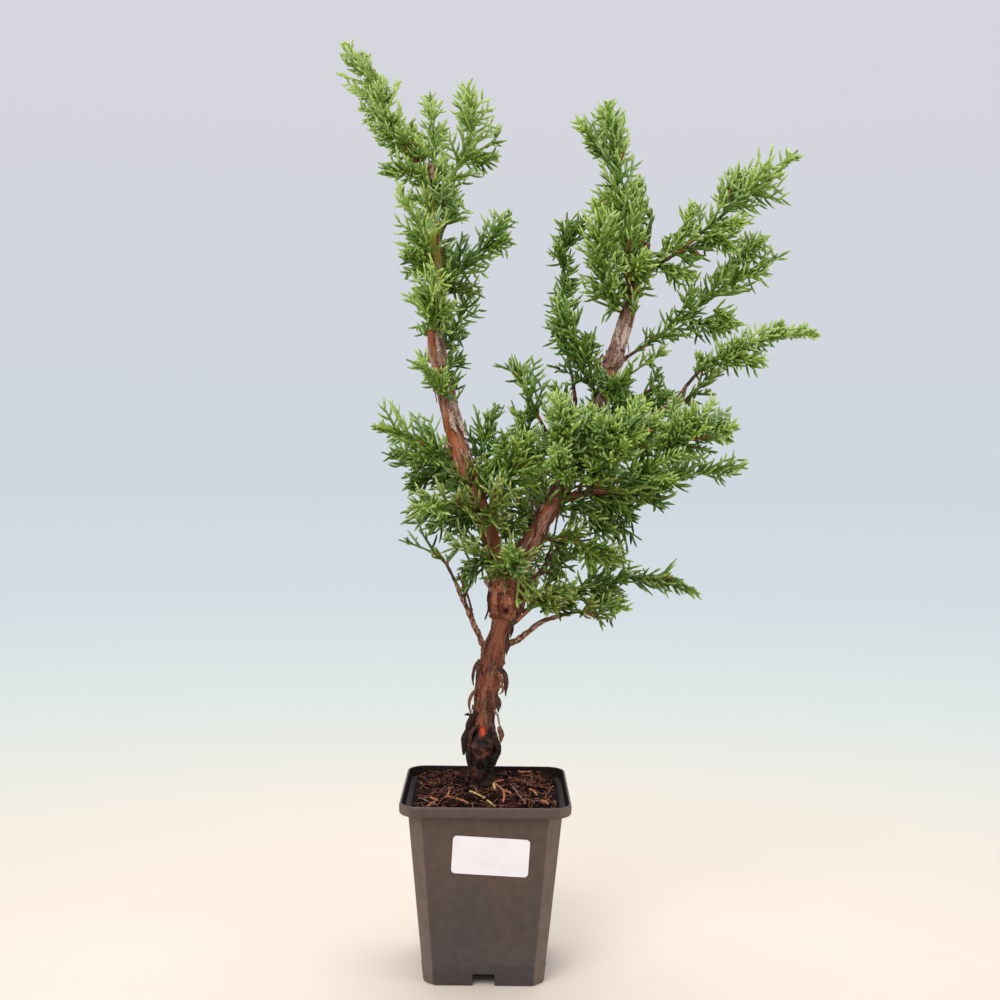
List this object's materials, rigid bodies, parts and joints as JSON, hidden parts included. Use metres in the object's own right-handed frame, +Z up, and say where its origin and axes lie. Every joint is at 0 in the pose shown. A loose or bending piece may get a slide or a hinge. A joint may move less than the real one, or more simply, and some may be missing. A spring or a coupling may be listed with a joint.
{
  "type": "potted juniper",
  "caption": "Young upright juniper with forked trunk and plumed evergreen foliage, in a square tapered nursery pot with a blank label; a bonsai starter plant.",
  "frame": {"origin": "on the ground under the middle of the pot, where the pot's flat underside rests", "axes": "+Z up along the pot's axis, +X to the right as the labelled front is seen, -Y towards the labelled front"},
  "size_m": [0.3264, 0.1528, 0.6141],
  "materials": {
    "pot_plastic": "semi-matt charcoal plastic with dried dust",
    "compost": "moist dark crumbs with bark chips and fine roots",
    "bark": "rough red-brown bark that peels in strips",
    "foliage": "cord-like scale-leaved shoots, mid green with paler tips",
    "paper": "matt white label paper"
  },
  "bodies": {
    "root": {"pot": "pot_plastic", "compost": "compost", "label": "paper", "trunk": "bark", "left_stem": "bark", "right_stem": "bark", "low_left_bough": "bark", "low_right_bough": "bark", "long_right_bough": "bark", "mid_right_bough": "bark", "up_1_bough": "bark", "up_2_bough": "bark", "up_3_bough": "bark", "centre_up_bough": "bark", "thin_left_bough": "bark", "leader_left": "foliage", "leader_back": "foliage", "leader_right": "foliage", "neck_front": "foliage", "neck_back": "foliage", "left_side": "foliage", "waist_front": "foliage", "waist_right": "foliage", "left_tuft": "foliage", "left_low_tip": "foliage", "left_low_under": "foliage", "left_front": "foliage", "low_left_tip": "foliage", "fork_left": "foliage", "front_drop": "foliage", "front_up": "foliage", "centre_back": "foliage", "centre_mid": "foliage", "centre_plume": "foliage", "thin_left_tall": "foliage", "inner_left": "foliage", "top_leader": "foliage", "top_mid_left": "foliage", "top_right": "foliage", "top_back": "foliage", "up_1": "foliage", "up_2": "foliage", "up_3": "foliage", "front_tuft": "foliage", "right_mid_back": "foliage", "crown_front_left": "foliage", "crown_front_mid": "foliage", "crown_right": "foliage", "crown_far_right": "foliage", "crown_under": "foliage", "lower_right": "foliage", "side_right": "foliage", "low_plume": "foliage", "low_right_tip": "foliage", "low_right_inner": "foliage", "back_low": "foliage", "back_left": "foliage", "back_mid": "foliage", "back_centre": "foliage"}
  },
  "joints": []
}
